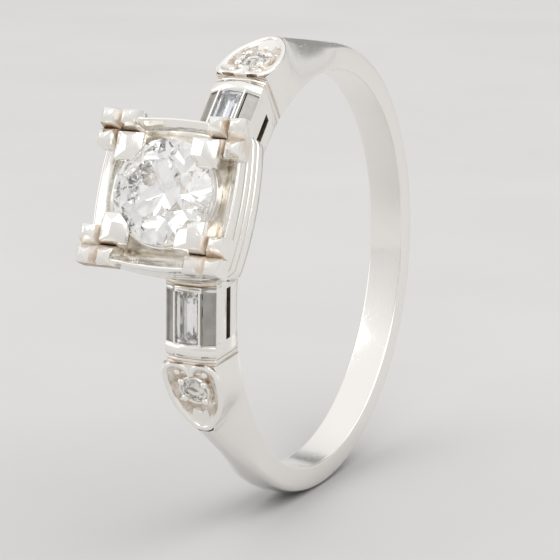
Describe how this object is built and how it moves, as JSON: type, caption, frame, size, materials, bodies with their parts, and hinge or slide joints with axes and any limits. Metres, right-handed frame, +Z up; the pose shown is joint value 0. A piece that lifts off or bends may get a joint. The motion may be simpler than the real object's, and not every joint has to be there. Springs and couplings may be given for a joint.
{
  "type": "engagement ring",
  "caption": "Finger ring with a round brilliant in a raised square head with fishtail corners, baguette boxes and heart-shaped plates on tapering shoulders.",
  "frame": {"origin": "centre of the finger hole", "axes": "+X along the finger hole's axis, +Z up as the ring stands on its shank, the head pointing towards -Y and raised 23.5 degrees"},
  "size_m": [0.006, 0.0243, 0.0199],
  "materials": {
    "white_gold": null,
    "diamond": "faceted and polished diamond"
  },
  "bodies": {
    "root": {"shank": "white_gold", "upper_shoulder": "white_gold", "lower_shoulder": "white_gold", "upper_collar": "white_gold", "lower_collar": "white_gold", "upper_baguette_box": "white_gold", "lower_baguette_box": "white_gold", "upper_heart_plate": "white_gold", "lower_heart_plate": "white_gold", "bridge": "white_gold", "head_gallery": "white_gold", "head_frame": "white_gold", "stone_basket": "white_gold", "claw_upper_far": "white_gold", "claw_upper_near": "white_gold", "claw_lower_far": "white_gold", "claw_lower_near": "white_gold", "fishtail_upper_far": "white_gold", "fishtail_upper_near": "white_gold", "fishtail_lower_far": "white_gold", "fishtail_lower_near": "white_gold", "centre_stone": "diamond", "upper_baguette": "diamond", "lower_baguette": "diamond", "upper_heart_stone": "diamond", "lower_heart_stone": "diamond"}
  },
  "joints": []
}
